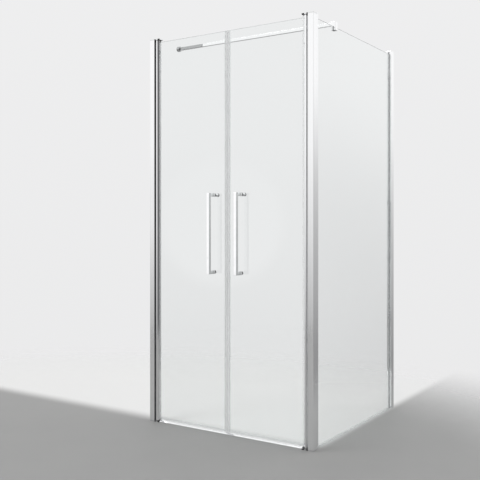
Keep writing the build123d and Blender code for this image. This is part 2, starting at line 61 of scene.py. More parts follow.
def new_effect(name, inputs, outputs):
    """An empty shader node group with named inputs and outputs, and its two end nodes' sockets."""
    effect = bpy.data.node_groups.new(name, "ShaderNodeTree")
    for label, kind in inputs.items():
        effect.interface.new_socket(label, in_out="INPUT", socket_type="NodeSocket" + kind)
    for label in outputs:
        effect.interface.new_socket(label, in_out="OUTPUT", socket_type="NodeSocketFloat")
    given = effect.nodes.new("NodeGroupInput").outputs
    wanted = effect.nodes.new("NodeGroupOutput").inputs
    return effect, given, wanted


def drawn_lines_effect():
    """Lines left by the extrusion die: noise squeezed across the section and stretched along it.

    Height is fine noise plus a slow waviness, in metres. Streaks is the same squeezed noise, coarser,
    from 0 to 1.
    """
    inputs = {"Vector": "Vector", "Per Metre": "Vector"}
    effect, given, wanted = new_effect("drawn lines", inputs, ["Height", "Streaks"])
    squeezed = add_node(
        effect, "VectorMath", {0: given["Vector"], 1: given["Per Metre"]}, operation="MULTIPLY"
    )
    fine = add_node(effect, "TexNoise", {"Vector": squeezed.outputs[0], "Scale": 1.0, "Detail": 3.0})
    coarse = add_node(effect, "TexNoise", {"Vector": squeezed.outputs[0], "Scale": 0.23, "Detail": 2.0})
    wave = add_node(effect, "TexNoise", {"Vector": given["Vector"], "Scale": 5.0, "Detail": 1.0})
    thin = add_node(effect, "Math", {0: fine.outputs["Fac"], 1: 6e-7}, operation="MULTIPLY")
    slow = add_node(effect, "Math", {0: wave.outputs["Fac"], 1: 1.4e-4}, operation="MULTIPLY")
    height = add_node(effect, "Math", {0: thin.outputs[0], 1: slow.outputs[0]})
    streaks = add_node(
        effect, "MapRange", {"Value": coarse.outputs["Fac"], "From Min": 0.35, "From Max": 0.65}
    )
    effect.links.new(height.outputs[0], wanted["Height"])
    effect.links.new(streaks.outputs[0], wanted["Streaks"])
    return effect


def wiping_marks_effect():
    """Faint smears of a wiping cloth, large bent noise, and a few specks of dust, small cells' centres."""
    inputs = {"Vector": "Vector", "Per Metre": "Float"}
    effect, given, wanted = new_effect("wiping marks", inputs, ["Smears", "Specks"])
    cloth = add_node(
        effect,
        "TexNoise",
        {"Vector": given["Vector"], "Scale": given["Per Metre"], "Detail": 4.0, "Distortion": 1.4},
    )
    smears = add_node(
        effect, "MapRange", {"Value": cloth.outputs["Fac"], "From Min": 0.45, "From Max": 0.75}
    )
    dust = add_node(effect, "TexVoronoi", {"Vector": given["Vector"], "Scale": 160.0})
    specks = add_node(
        effect,
        "MapRange",
        {"Value": dust.outputs["Distance"], "From Min": 0.09, "From Max": 0.04},
    )
    effect.links.new(smears.outputs[0], wanted["Smears"])
    effect.links.new(specks.outputs[0], wanted["Specks"])
    return effect


drawn_lines = drawn_lines_effect()
wiping_marks = wiping_marks_effect()


def new_finish(name, constants):
    """A material with its Principled shader, whose constant values are set on its own sockets."""
    material = bpy.data.materials.new(name)
    material.use_nodes = True
    tree = material.node_tree
    shader = tree.nodes["Principled BSDF"]
    for socket, value in constants.items():
        shader.inputs[socket].default_value = value
    place = tree.nodes.new("ShaderNodeTexCoord").outputs["Object"]
    return material, tree, shader.inputs, place


def blended(tree, mask, low, high):
    """A colour that runs from low to high as the mask runs from 0 to 1; either may be a socket."""
    mix = add_node(tree, "Mix", data_type="RGBA")
    for socket, value in ((mix.inputs[0], mask), (mix.inputs[6], low), (mix.inputs[7], high)):
        if isinstance(value, bpy.types.NodeSocket):
            tree.links.new(value, socket)
        else:
            socket.default_value = value
    return mix.outputs[2]


def ranged(tree, mask, low, high):
    """A number that runs from low to high as the mask runs from 0 to 1."""
    return add_node(tree, "MapRange", {"Value": mask, "To Min": low, "To Max": high}).outputs[0]


def extruded_metal(name, per_metre, dull, bright, roughness):
    """Drawn aluminium: streaks along the extrusion in its colour and gloss, smears and its die lines."""
    material, tree, shader, place = new_finish(name, {"Metallic": 1.0})
    lines = add_node(tree, "Group", {"Vector": place, "Per Metre": per_metre}, node_tree=drawn_lines)
    marks = add_node(tree, "Group", {"Vector": place, "Per Metre": 7.0}, node_tree=wiping_marks)
    streaked = blended(tree, lines.outputs["Streaks"], dull, bright)
    faint = ranged(tree, marks.outputs["Smears"], 0.0, 0.25)
    tree.links.new(blended(tree, faint, streaked, dull), shader["Base Color"])
    gloss = ranged(tree, lines.outputs["Streaks"], roughness[0], roughness[1])
    smeared = ranged(tree, marks.outputs["Smears"], 0.0, 0.35 * (roughness[1] - roughness[0]))
    rough = add_node(tree, "Math", {0: gloss, 1: smeared})
    dusty = add_node(tree, "Math", {0: marks.outputs["Specks"], 1: 0.12}, operation="MULTIPLY")
    total = add_node(tree, "Math", {0: rough.outputs[0], 1: dusty.outputs[0]})
    tree.links.new(total.outputs[0], shader["Roughness"])
    bump = add_node(tree, "Bump", {"Height": lines.outputs["Height"], "Distance": 1.0})
    tree.links.new(bump.outputs[0], shader["Normal"])
    return material


def dress(material, *nodes):
    """Gives a finish to CAD pieces whose shape stays as it is."""
    for name in nodes:
        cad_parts[name].material_slots[0].material = material


mill_aluminium = extruded_metal(
    "mill_aluminium", (2200, 2200, 3), (0.60, 0.61, 0.62, 1), (0.74, 0.75, 0.76, 1), (0.28, 0.42)
)
dress(mill_aluminium, "left_wall_channel", "rear_wall_channel")

# Upright profiles. Aluminium extrusions polished and sealed to a chrome look: the left jamb, the corner
# post with the glazing profile behind it, the rear jamb, and the hinge tubes that carry the leaves.
upright_profile = extruded_metal(
    "upright_profile", (900, 900, 2), (0.935, 0.94, 0.95, 1), (0.965, 0.968, 0.975, 1), (0.05, 0.10)
)
dress(upright_profile, "left_jamb_profile", "right_jamb_profile", "side_glazing_profile")
dress(upright_profile, "rear_jamb_profile", "left_hinge_tube", "right_hinge_tube")

# Clamping screws. Six stainless pan-head screws with a cross recess hold the two wall jambs on their
# channels from inside the shower, and three sunk ones join the glazing profile to the corner post.


def cross_recess(angle, width=0.95, reach=1.9):
    """A cross seen from above: its radius is reach, or half the width over the smaller of sine and cosine."""
    nearer = np.minimum(abs(np.sin(angle)), abs(np.cos(angle)))
    return np.minimum(reach, 0.5 * width / np.maximum(nearer, 0.01))


def screw_turns(head, head_height, shank, reach, recess, depth=1.2, pitch=0.8):
    """A screw as rings round w, with the seat of its head at w = 0 and its point at w = -reach.

    Each ring is a radius and a height for every angle: the drive recess, the head, the thread, whose radius
    is shank - 0.15 (1 - cos(2 pi w / pitch + angle)), and the point.
    """
    angle = np.linspace(0, 2 * np.pi, 36, endpoint=False)
    outline = recess(angle)
    circle = np.ones_like(angle)
    rings = [
        (0.4 * outline, head_height - depth),
        (0.94 * outline, head_height - depth),
        (outline, head_height - 0.06),
        (outline + 0.06, head_height),
        (0.84 * head * circle, head_height),
        (0.95 * head * circle, 0.86 * head_height),
        (head * circle, 0.6 * head_height),
        (head * circle, 0.0),
        (shank * circle, 0.0),
    ]
    runs = np.arange(0.3, reach - 0.8, pitch / 6)[:, None]
    thread = shank - 0.15 * (1 - np.cos(2 * np.pi * runs / pitch - angle))
    radius = np.concatenate([np.array([ring[0] for ring in rings]), thread])
    radius = np.concatenate([radius, [0.7 * shank * circle, 0.2 * shank * circle]])
    heights = np.concatenate([[ring[1] for ring in rings], -runs[:, 0], [0.2 - reach, -reach]])
    height = heights[:, None] * circle
    return np.stack([radius * np.cos(angle), radius * np.sin(angle), height], -1)


def laid(grid, axis, place, way=1):
    """Lays a shape drawn round w along the world's axis 0, 1 or 2, from a place, forwards or backwards."""
    across = [k for k in range(3) if k != axis]
    out = np.empty_like(grid)
    out[..., across[0]] = grid[..., 0]
    out[..., across[1]] = grid[..., 1]
    out[..., axis] = way * grid[..., 2]
    return out + np.array(place, float)


def solid(name, grids, sharp=0.6):
    """One object of closed shells. Each grid is rings of points in millimetres; quads join ring to ring,
    and the first and last ring are closed flat. The UV map holds the way round a ring and the way along
    the rings, in metres.
    """
    points, faces, round_and_along, start = [], [], [], 0
    for grid in grids:
        rings, count = grid.shape[:2]
        index = start + np.arange(rings * count).reshape(rings, count)
        nxt = np.roll(index, -1, axis=1)
        quads = np.stack([index[:-1], nxt[:-1], nxt[1:], index[1:]], -1).reshape(-1, 4)
        faces += quads.tolist() + [index[0].tolist(), index[-1].tolist()]
        steps = np.linalg.norm(np.diff(grid, axis=0), axis=2).mean(1)
        along = np.concatenate([[0.0], np.cumsum(steps)])
        sides = np.linalg.norm(np.roll(grid, -1, axis=1) - grid, axis=2).mean(0)
        around = np.concatenate([[0.0], np.cumsum(sides)[:-1]])
        pair = np.stack(np.broadcast_arrays(around[None, :], along[:, None]), -1)
        round_and_along.append(pair.reshape(-1, 2))
        points.append(grid.reshape(-1, 3))
        start += rings * count
    mesh = bpy.data.meshes.new(name)
    mesh.from_pydata(0.001 * np.concatenate(points), [], faces)
    shape = bmesh.new()
    shape.from_mesh(mesh)
    bmesh.ops.recalc_face_normals(shape, faces=shape.faces)
    shape.to_mesh(mesh)
    shape.free()
    corner = np.empty(len(mesh.loops), np.int32)
    mesh.loops.foreach_get("vertex_index", corner)
    flat = 0.001 * np.concatenate(round_and_along)[corner]
    mesh.uv_layers.new(name="surface").data.foreach_set("uv", flat.astype(np.float32).ravel())
    mesh.shade_smooth()
    mesh.set_sharp_from_angle(angle=sharp)
    piece = bpy.data.objects.new(name, mesh)
    bpy.context.scene.collection.objects.link(piece)
    return piece


def turned_steel():
    """Stainless steel off the lathe: rings that follow the turning, by the UV map's way along the shape."""
    material, tree, shader, place = new_finish("turned_steel", {"Metallic": 1.0})
    surface = add_node(tree, "UVMap", uv_map="surface")
    across = add_node(tree, "VectorMath", {0: surface.outputs[0], 1: (8, 9000, 0)}, operation="MULTIPLY")
    rings = add_node(tree, "TexNoise", {"Vector": across.outputs[0], "Scale": 1.0, "Detail": 2.0})
    tint = add_node(tree, "TexNoise", {"Vector": place, "Scale": 260.0, "Detail": 2.0})
    pale, dark = (0.66, 0.665, 0.67, 1), (0.50, 0.50, 0.505, 1)
    tree.links.new(blended(tree, tint.outputs["Fac"], dark, pale), shader["Base Color"])
    tree.links.new(ranged(tree, rings.outputs["Fac"], 0.16, 0.36), shader["Roughness"])
    height = add_node(tree, "Math", {0: rings.outputs["Fac"], 1: 4e-6}, operation="MULTIPLY")
    bump = add_node(tree, "Bump", {"Height": height.outputs[0], "Distance": 1.0})
    tree.links.new(bump.outputs[0], shader["Normal"])
    return material


steel = turned_steel()
side_pane_x = 467.65
jamb_back_y = 17.5
jamb_screw_heights = (300, 1000, 1700)
pan_head = screw_turns(3.4, 2.0, 2.0, 9.0, cross_recess)
left_screws = [laid(pan_head, 1, (-473.0, jamb_back_y, z)) for z in jamb_screw_heights]
rear_screws = [laid(pan_head, 0, (452.8, 938.0, z), -1) for z in jamb_screw_heights]
clamp_screws = solid("jamb_screws_turned", left_screws + rear_screws)
clamp_screws.data.materials.append(steel)
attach(clamp_screws, "frame")
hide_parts("jamb_clamp_screws")

sunk_head = screw_turns(3.4, 1.8, 2.0, 9.0, cross_recess)
sunk_screws = [laid(sunk_head, 1, (side_pane_x, 18.3, z)) for z in jamb_screw_heights]
post_screws = solid("corner_screws_turned", sunk_screws)
post_screws.data.materials.append(steel)
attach(post_screws, "frame")
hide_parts("corner_screws")

# Bearing plates. Bright die-cast plates close both ends of the left jamb and the corner post, and reach over
# the ends of the hinge tube. Their arms are painted black next to the jamb, as painted shade in the gap, and
# at the arm's end.


def plate_finish():
    """Bright casting with two black spans painted on its arm: the one next to the jamb is painted shade in
    the gap, and the other is a black band at the arm's end. Each is a span of distance from the middle plane
    X = 0, in metres.
    """
    material, tree, shader, place = new_finish("bearing_plate", {})
    marks = add_node(tree, "Group", {"Vector": place, "Per Metre": 30.0}, node_tree=wiping_marks)
    split = add_node(tree, "SeparateXYZ", {0: place})
    out = add_node(tree, "Math", {0: split.outputs["X"]}, operation="ABSOLUTE")
    # Painted shade: the span next to the jamb is coloured black to stand in for the shade in the gap; the
    # second span is a black band at the arm's end.
    gap_shade = add_node(tree, "Math", {0: out.outputs[0], 1: 0.4488, 2: 0.0036}, operation="COMPARE")
    arm_end_band = add_node(tree, "Math", {0: out.outputs[0], 1: 0.4268, 2: 0.0062}, operation="COMPARE")
    black = add_node(tree, "Math", {0: gap_shade.outputs[0], 1: arm_end_band.outputs[0]}, operation="MAXIMUM")
    cast = add_node(tree, "Math", {0: 1.0, 1: black.outputs[0]}, operation="SUBTRACT").outputs[0]
    grain = add_node(tree, "TexNoise", {"Vector": place, "Scale": 1500.0, "Detail": 2.0})
    metal = blended(tree, marks.outputs["Smears"], (0.80, 0.805, 0.81, 1), (0.70, 0.705, 0.715, 1))
    # The black of both spans. Next to the jamb it is painted shade.
    plastic = blended(tree, grain.outputs["Fac"], (0.012, 0.013, 0.014, 1), (0.03, 0.031, 0.033, 1))
    tree.links.new(blended(tree, cast, plastic, metal), shader["Base Color"])
    tree.links.new(cast, shader["Metallic"])
    tree.links.new(ranged(tree, cast, 0.48, 0.14), shader["Roughness"])
    sparked = ranged(tree, cast, 1.2e-5, 1e-6)
    height = add_node(tree, "Math", {0: grain.outputs["Fac"], 1: sparked}, operation="MULTIPLY")
    bump = add_node(tree, "Bump", {"Height": height.outputs[0], "Distance": 1.0})
    tree.links.new(bump.outputs[0], shader["Normal"])
    return material


bearing_plate = plate_finish()
dress(bearing_plate, "left_bearing_foot", "left_bearing_cap", "right_bearing_foot", "right_bearing_cap")

# Pivot pins and plate screws. Turned stainless pins with a flat head stand in the plates, and screws with
# a hexagon socket hold the plates in the jambs' screw ports. Their heads show at the very top and bottom.


def hexagon(angle, across=2.6):
    """A hexagon seen from above: half its width over the cosine of the angle from the nearest flat."""
    return 0.5 * across / np.cos((angle + np.pi / 6) % (np.pi / 3) - np.pi / 6)


def lathe(profile, count=64):
    """Rings round w; the profile lists radius and height in millimetres."""
    angle = np.linspace(0, 2 * np.pi, count, endpoint=False)
    radius, height = np.array(profile, float).T[:, :, None]
    flat = height + 0 * angle
    return np.stack([radius * np.cos(angle), radius * np.sin(angle), flat], -1)


pivot_x = 436.3
plate_screw_x = 457.0
plate_screw_reach = 13.3
foot_inner_z = 2.0
cap_inner_z = 1998.0
pin_profile = [
    (0.4, 0.9), (1.1, 1.8), (5.5, 1.8), (5.9, 1.6), (6.0, 1.2), (6.0, 0), (4.0, 0), (4.0, -23.2),
    (3.3, -24), (0.3, -24),
]
pin = lathe(pin_profile)
socket_screw = screw_turns(3.4, 1.8, 2.0, 22.0, hexagon)
for side, sign in (("left", -1), ("right", 1)):
    lower = laid(pin, 2, (sign * pivot_x, 0, foot_inner_z), -1)
    upper = laid(pin, 2, (sign * pivot_x, 0, cap_inner_z))
    pins = solid(side + "_pins_turned", [lower, upper])
    pins.data.materials.append(steel)
    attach(pins, "frame")
    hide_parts(side + "_pivot_pins")
    x, rows = sign * plate_screw_x, (-plate_screw_reach, plate_screw_reach)
    below = [laid(socket_screw, 2, (x, y, foot_inner_z), -1) for y in rows]
    above = [laid(socket_screw, 2, (x, y, cap_inner_z)) for y in rows]
    plate_screws = solid(side + "_plate_screws", below + above)
    plate_screws.data.materials.append(steel)
    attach(plate_screws, "frame")
    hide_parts(side + "_bearing_screws")

# Pivot bushes. Black acetal end pieces pushed into the hinge tubes; each turns on its pin, and its flange
# keeps the tube off the plate.


def moulding(name, dark, pale, roughness, per_metre, depth):
    """Moulded black plastic or rubber: fine grain from the tool, a little unevenness and dust."""
    material, tree, shader, place = new_finish(name, {})
    grain = add_node(tree, "TexNoise", {"Vector": place, "Scale": per_metre, "Detail": 3.0})
    marks = add_node(tree, "Group", {"Vector": place, "Per Metre": 25.0}, node_tree=wiping_marks)
    uneven = blended(tree, grain.outputs["Fac"], dark, pale)
    dusted = ranged(tree, marks.outputs["Specks"], 0.0, 0.10)
    tree.links.new(blended(tree, dusted, uneven, (0.5, 0.5, 0.48, 1)), shader["Base Color"])
    tree.links.new(ranged(tree, marks.outputs["Smears"], roughness[0], roughness[1]), shader["Roughness"])
    height = add_node(tree, "Math", {0: grain.outputs["Fac"], 1: depth}, operation="MULTIPLY")
    bump = add_node(tree, "Bump", {"Height": height.outputs[0], "Distance": 1.0})
    tree.links.new(bump.outputs[0], shader["Normal"])
    return material


black_plastic = moulding(
    "black_plastic", (0.012, 0.013, 0.014, 1), (0.032, 0.033, 0.035, 1), (0.34, 0.46), 1500.0, 1.2e-5
)
dress(black_plastic, "left_pivot_bushes", "right_pivot_bushes")

# Gap seals. Soft dark strips pushed into the jambs' grooves, whose bulb faces the hinge tube, and two thin
# dark strips along the jamb's edges that are painted shade, so that the gap that the tube turns past is dark.


def softened(points, radius, steps=4):
    """Rounds the corners of a closed outline. A corner P with neighbours A and B becomes the curve
    P + r ((1 - t)^2 a + t^2 b), t from 0 to 1, with a and b the unit vectors from P to A and to B, and r
    the radius or 0.45 of the shorter side.
    """
    p = np.array(points, float)
    back = np.roll(p, 1, axis=0) - p
    ahead = np.roll(p, -1, axis=0) - p
    back_length = np.linalg.norm(back, axis=1, keepdims=True)
    ahead_length = np.linalg.norm(ahead, axis=1, keepdims=True)
    r = np.minimum(radius, 0.45 * np.minimum(back_length, ahead_length))[:, None]
    a = (back / back_length)[:, None]
    b = (ahead / ahead_length)[:, None]
    t = np.linspace(0, 1, steps + 1)[None, :, None]
    curve = p[:, None] + r * ((1 - t) ** 2 * a + t**2 * b)
    return curve.reshape(-1, 2)


def carried(outline, low, high):
    """A closed outline carried straight along w from low to high."""
    outline = np.array(outline, float)
    ends = np.array([low, high], float)[:, None]
    u, v, w = np.broadcast_arrays(outline[None, :, 0], outline[None, :, 1], ends)
    return np.stack([u, v, w], -1)


def mirrored(outline, sign):
    """The outline for the right half as drawn, or turned over for the left half."""
    return np.array(outline, float) * (sign, 1)


# Dark rubber of the gap seals, also used for the two thin strips of painted shade along the jamb's edges.
seal_and_painted_shade = moulding(
    "seal_and_painted_shade", (0.035, 0.037, 0.040, 1), (0.075, 0.078, 0.082, 1), (0.45, 0.60), 900.0, 6e-6
)
gap_seal_outline = softened(
    [
        (453.7, -2.9), (452.78, -2.9), (452.6, -3.6), (452.36, -3.0), (452.3, -1.5), (452.45, 0),
        (452.3, 1.5), (452.36, 3.0), (452.6, 3.6), (452.78, 2.9), (453.7, 2.9),
    ],
    0.25,
)
# Painted shade: two thin dark strips along the jamb's edges that darken the gap the tube turns past.
painted_shade_strip_outline = softened(
    [(452.78, 8.8), (452.5, 8.8), (452.36, 9.3), (452.36, 16.0), (452.5, 16.6), (452.78, 16.6)], 0.1
)
jamb_low_z = 6.1
jamb_high_z = 1993.9
for side, sign in (("left", -1), ("right", 1)):
    sections = [gap_seal_outline, painted_shade_strip_outline, painted_shade_strip_outline * (1, -1)]
    runs = [carried(mirrored(section, sign), jamb_low_z, jamb_high_z) for section in sections]
    gap_seal_and_shade = solid(side + "_gap_seal_and_painted_shade", runs)
    gap_seal_and_shade.data.materials.append(seal_and_painted_shade)
    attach(gap_seal_and_shade, "frame")
    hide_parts(side + "_gap_seal")

# Leaf panes. Clear toughened glass, 6 mm thick, with ground edges and two drilled holes for the handle.
# One edge is bedded in the hinge tube, the other carries the magnetic seal.


def pane_edge_effect():
    """How near a place is to a pane's border: 1 on the ground edge, 0 inside.

    The mask is the largest of |P - middle| - half size over the directions in the pane's plane, ranged from
    -margin to 0.
    """
    inputs = {"Vector": "Vector", "Middle": "Vector", "Half Size": "Vector", "Margin": "Float"}
    effect, given, wanted = new_effect("pane edge", inputs, ["Edge"])
    off = add_node(effect, "VectorMath", {0: given["Vector"], 1: given["Middle"]}, operation="SUBTRACT")
    far = add_node(effect, "VectorMath", {0: off.outputs[0]}, operation="ABSOLUTE")
    past = add_node(effect, "VectorMath", {0: far.outputs[0], 1: given["Half Size"]}, operation="SUBTRACT")
    split = add_node(effect, "SeparateXYZ", {0: past.outputs[0]})
    widest = add_node(effect, "Math", {0: split.outputs["X"], 1: split.outputs["Y"]}, operation="MAXIMUM")
    widest = add_node(effect, "Math", {0: widest.outputs[0], 1: split.outputs["Z"]}, operation="MAXIMUM")
    start = add_node(effect, "Math", {0: given["Margin"], 1: -1.0}, operation="MULTIPLY")
    edge = add_node(
        effect,
        "MapRange",
        {"Value": widest.outputs[0], "From Min": start.outputs[0], "From Max": 0.0},
    )
    effect.links.new(edge.outputs[0], wanted["Edge"])
    return effect


pane_edge = pane_edge_effect()


def let_lamps_through(tree, tint):
    """Lets lamplight straight through a clear piece with a slight tint, so that its shadow is faint."""
    principled = tree.nodes["Principled BSDF"].outputs[0]
    ray = add_node(tree, "LightPath")
    clear = add_node(tree, "BsdfTransparent", {"Color": tint})
    both = add_node(
        tree, "MixShader", {0: ray.outputs["Is Shadow Ray"], 1: principled, 2: clear.outputs[0]}
    )
    tree.links.new(both.outputs[0], tree.nodes["Material Output"].inputs["Surface"])


def pane_glass(name, node, thin_axis):
    """Clear glass, faintly green, with a matt green ground edge round its border."""
    low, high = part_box(node)
    half = (high - low) / 2
    half[thin_axis] = 1.0
    material, tree, shader, place = new_finish(name, {"Transmission Weight": 1.0, "IOR": 1.52})
    border = {"Vector": place, "Middle": (low + high) / 2, "Half Size": half, "Margin": 0.0007}
    edge = add_node(tree, "Group", border, node_tree=pane_edge).outputs["Edge"]
    melt = add_node(tree, "TexNoise", {"Vector": place, "Scale": 1.3, "Detail": 1.0})
    clear = blended(tree, melt.outputs["Fac"], (0.945, 0.962, 0.958, 1), (0.958, 0.970, 0.968, 1))
    tree.links.new(blended(tree, edge, clear, (0.66, 0.80, 0.755, 1)), shader["Base Color"])
    tree.links.new(ranged(tree, edge, 0.0, 0.32), shader["Roughness"])
    let_lamps_through(tree, (0.95, 0.96, 0.958, 1))
    return material


dress(pane_glass("left_leaf_pane", "left_leaf_glass", 1), "left_leaf_glass")
dress(pane_glass("right_leaf_pane", "right_leaf_glass", 1), "right_leaf_glass")

# Hinge strips. Clear extruded vinyl wedges on both faces of the glass, pressed into the tube's groove; a soft
# lip outside closes on the tube's mouth and runs out thin over the glass.


def clear_vinyl(name, per_metre):
    """Clear vinyl: slightly milky, clearer where it is looked at squarely, with the extrusion's streaks."""
    material, tree, shader, place = new_finish(name, {"IOR": 1.48})
    lines = add_node(tree, "Group", {"Vector": place, "Per Metre": per_metre}, node_tree=drawn_lines)
    marks = add_node(tree, "Group", {"Vector": place, "Per Metre": 14.0}, node_tree=wiping_marks)
    milky = blended(tree, lines.outputs["Streaks"], (0.84, 0.85, 0.86, 1), (0.92, 0.925, 0.93, 1))
    tree.links.new(milky, shader["Base Color"])
    tree.links.new(ranged(tree, marks.outputs["Smears"], 0.10, 0.24), shader["Roughness"])
    bump = add_node(tree, "Bump", {"Height": lines.outputs["Height"], "Distance": 1.0})
    tree.links.new(bump.outputs[0], shader["Normal"])
    facing = add_node(tree, "LayerWeight", {"Blend": 0.35})
    tree.links.new(ranged(tree, facing.outputs["Facing"], 0.07, 0.42), shader["Alpha"])
    let_lamps_through(tree, (0.95, 0.96, 0.96, 1))
    return material


upright_vinyl = clear_vinyl("upright_vinyl", (1100, 1100, 2))
wedge_outline = softened(
    [
        (428.8, 3.05), (428.8, 4.1), (427.3, 4.1), (426.9, 4.9), (425.6, 4.9), (422.0, 4.1),
        (418.4, 3.6), (417.8, 3.25), (417.8, 3.05),
    ],
    0.5,
)
seal_low_z = 10.6
seal_high_z = 1983.0
tube_high_z = 1991.6
for side, sign in (("left", -1), ("right", 1)):
    front = mirrored(wedge_outline, sign)
    wedges = [carried(front * (1, face), seal_low_z, tube_high_z) for face in (-1, 1)]
    wedges = solid(side + "_hinge_wedges", wedges)
    wedges.data.materials.append(upright_vinyl)
    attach(wedges, side + "_leaf")
    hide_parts(side + "_hinge_strip")

# Edge seals and magnets. Clear vinyl housings clip over the meeting edges of the panes with two legs, and
# a pale magnetic strip lies in each, so that the leaves draw together.
housing_outline = softened(
    [
        (0.3, -5.9), (11.1, -5.9), (12.3, -4.2), (18.5, -4.2), (19.5, -3.6), (19.5, -3.05), (11.45, -3.05),
        (11.45, 3.05), (19.5, 3.05), (19.5, 3.6), (18.5, 4.2), (12.3, 4.2), (11.1, 5.9), (0.3, 5.9),
    ],
    1.0,
)
magnet_outline = softened(
    [
        (1.5, -4.8), (10.3, -4.8), (10.3, 4.8), (1.5, 4.8), (1.5, 0.9), (2.1, 0.5), (2.1, -0.5),
        (1.5, -0.9),
    ],
    0.5,
)


def magnet_finish():
    """Milky magnetic strip: drawn smooth, half see-through, with fine powder grain and a slight mottle."""
    material, tree, shader, place = new_finish("magnet_rubber", {"Alpha": 0.36})
    lines = add_node(tree, "Group", {"Vector": place, "Per Metre": (900, 900, 2)}, node_tree=drawn_lines)
    powder = add_node(tree, "TexNoise", {"Vector": place, "Scale": 2600.0, "Detail": 2.0})
    drawn = blended(tree, lines.outputs["Streaks"], (0.90, 0.905, 0.912, 1), (0.95, 0.952, 0.956, 1))
    grainy = ranged(tree, powder.outputs["Fac"], 0.0, 0.3)
    tree.links.new(blended(tree, grainy, drawn, (0.84, 0.845, 0.855, 1)), shader["Base Color"])
    tree.links.new(ranged(tree, powder.outputs["Fac"], 0.42, 0.62), shader["Roughness"])
    bump = add_node(tree, "Bump", {"Height": lines.outputs["Height"], "Distance": 1.0})
    tree.links.new(bump.outputs[0], shader["Normal"])
    let_lamps_through(tree, (0.97, 0.97, 0.97, 1))
    return material


magnet_rubber = magnet_finish()
for side, sign in (("left", -1), ("right", 1)):
    housing = [carried(mirrored(housing_outline, sign), seal_low_z, seal_high_z)]
    housing = solid(side + "_meeting_housing", housing)
    housing.data.materials.append(upright_vinyl)
    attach(housing, side + "_leaf")
    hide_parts(side + "_edge_seal")
    magnet = [carried(mirrored(magnet_outline, sign), seal_low_z + 0.6, seal_high_z - 0.6)]
    magnet = solid(side + "_meeting_magnet", magnet)
    magnet.data.materials.append(magnet_rubber)
    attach(magnet, side + "_leaf")
    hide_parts(side + "_edge_magnet")

# Drip seals. A clear vinyl clip under each pane, with a soft fin that hangs to just above the threshold
# rail and keeps the water inside.
level_vinyl = clear_vinyl("level_vinyl", (2, 1100, 1100))
drip_outline = softened(
    [
        (-3.5, 26.0), (-4.2, 25.2), (-4.2, 17.0), (-3.3, 16.4), (-1.1, 16.2), (-0.7, 11.2), (-0.3, 10.6),
        (0.3, 10.6), (0.7, 11.2), (1.1, 16.2), (3.3, 16.4), (4.2, 17.0), (4.2, 25.2), (3.5, 26.0),
        (3.05, 25.3), (3.05, 17.95), (-3.05, 17.95), (-3.05, 25.3),
    ],
    0.35,
)
for side, sign in (("left", -1), ("right", 1)):
    run = sorted((sign * 19.8, sign * 417.5))
    drip = solid(side + "_drip_clip", [laid(carried(drip_outline, run[0], run[1]), 0, (0, 0, 0))])
    drip.data.materials.append(level_vinyl)
    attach(drip, side + "_leaf")
    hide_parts(side + "_drip_seal")

# Threshold rail. A low hollow aluminium extrusion with a flat ridge, polished as the profiles are and glued
# down between the two lower bearing plates.
level_profile = extruded_metal(
    "level_profile", (2, 900, 900), (0.93, 0.935, 0.945, 1), (0.96, 0.965, 0.97, 1), (0.06, 0.12)
)
dress(level_profile, "threshold_rail")

# Handles. Polished chrome square bars on two square posts each. Threaded studs run from the posts through
# the glass, with dark spacers outside and washers inside, to a knob above and a flat cap below.


def polished_chrome(name, grey_to=None):
    """Chrome plate on polished metal: nearly a mirror, with slow waves from the wheel, smears and dust.

    Up to the X given as the last argument, in metres, the plate is a darker grey and rougher instead, with a
    dark line where the grey ends.
    """
    material, tree, shader, place = new_finish(name, {"Metallic": 1.0})
    marks = add_node(tree, "Group", {"Vector": place, "Per Metre": 22.0}, node_tree=wiping_marks)
    wheel = add_node(tree, "TexNoise", {"Vector": place, "Scale": 45.0, "Detail": 1.0})
    faint = ranged(tree, marks.outputs["Smears"], 0.0, 1.0)
    colour = blended(tree, faint, (0.96, 0.962, 0.97, 1), (0.92, 0.925, 0.935, 1))
    smeared = ranged(tree, marks.outputs["Smears"], 0.06, 0.12)
    dusty = add_node(tree, "Math", {0: marks.outputs["Specks"], 1: 0.15}, operation="MULTIPLY")
    rough = add_node(tree, "Math", {0: smeared, 1: dusty.outputs[0]})
    if grey_to is not None:
        along = add_node(tree, "SeparateXYZ", {0: place}).outputs["X"]
        # Darker grey and rougher up to the given X, with a dark line where the grey ends.
        grey_part = add_node(tree, "Math", {0: along, 1: grey_to}, operation="LESS_THAN")
        joint = add_node(tree, "Math", {0: along, 1: grey_to, 2: 0.0009}, operation="COMPARE")
        grey = blended(tree, faint, (0.42, 0.425, 0.43, 1), (0.36, 0.365, 0.37, 1))
        colour = blended(tree, grey_part.outputs[0], colour, grey)
        colour = blended(tree, joint.outputs[0], colour, (0.09, 0.09, 0.095, 1))
        duller = {0: grey_part.outputs[0], 1: 0.14, 2: rough.outputs[0]}
        rough = add_node(tree, "Math", duller, operation="MULTIPLY_ADD")
    tree.links.new(colour, shader["Base Color"])
    tree.links.new(rough.outputs[0], shader["Roughness"])
    height = add_node(tree, "Math", {0: wheel.outputs["Fac"], 1: 1.2e-5}, operation="MULTIPLY")
    bump = add_node(tree, "Bump", {"Height": height.outputs[0], "Distance": 1.0})
    tree.links.new(bump.outputs[0], shader["Normal"])
    return material


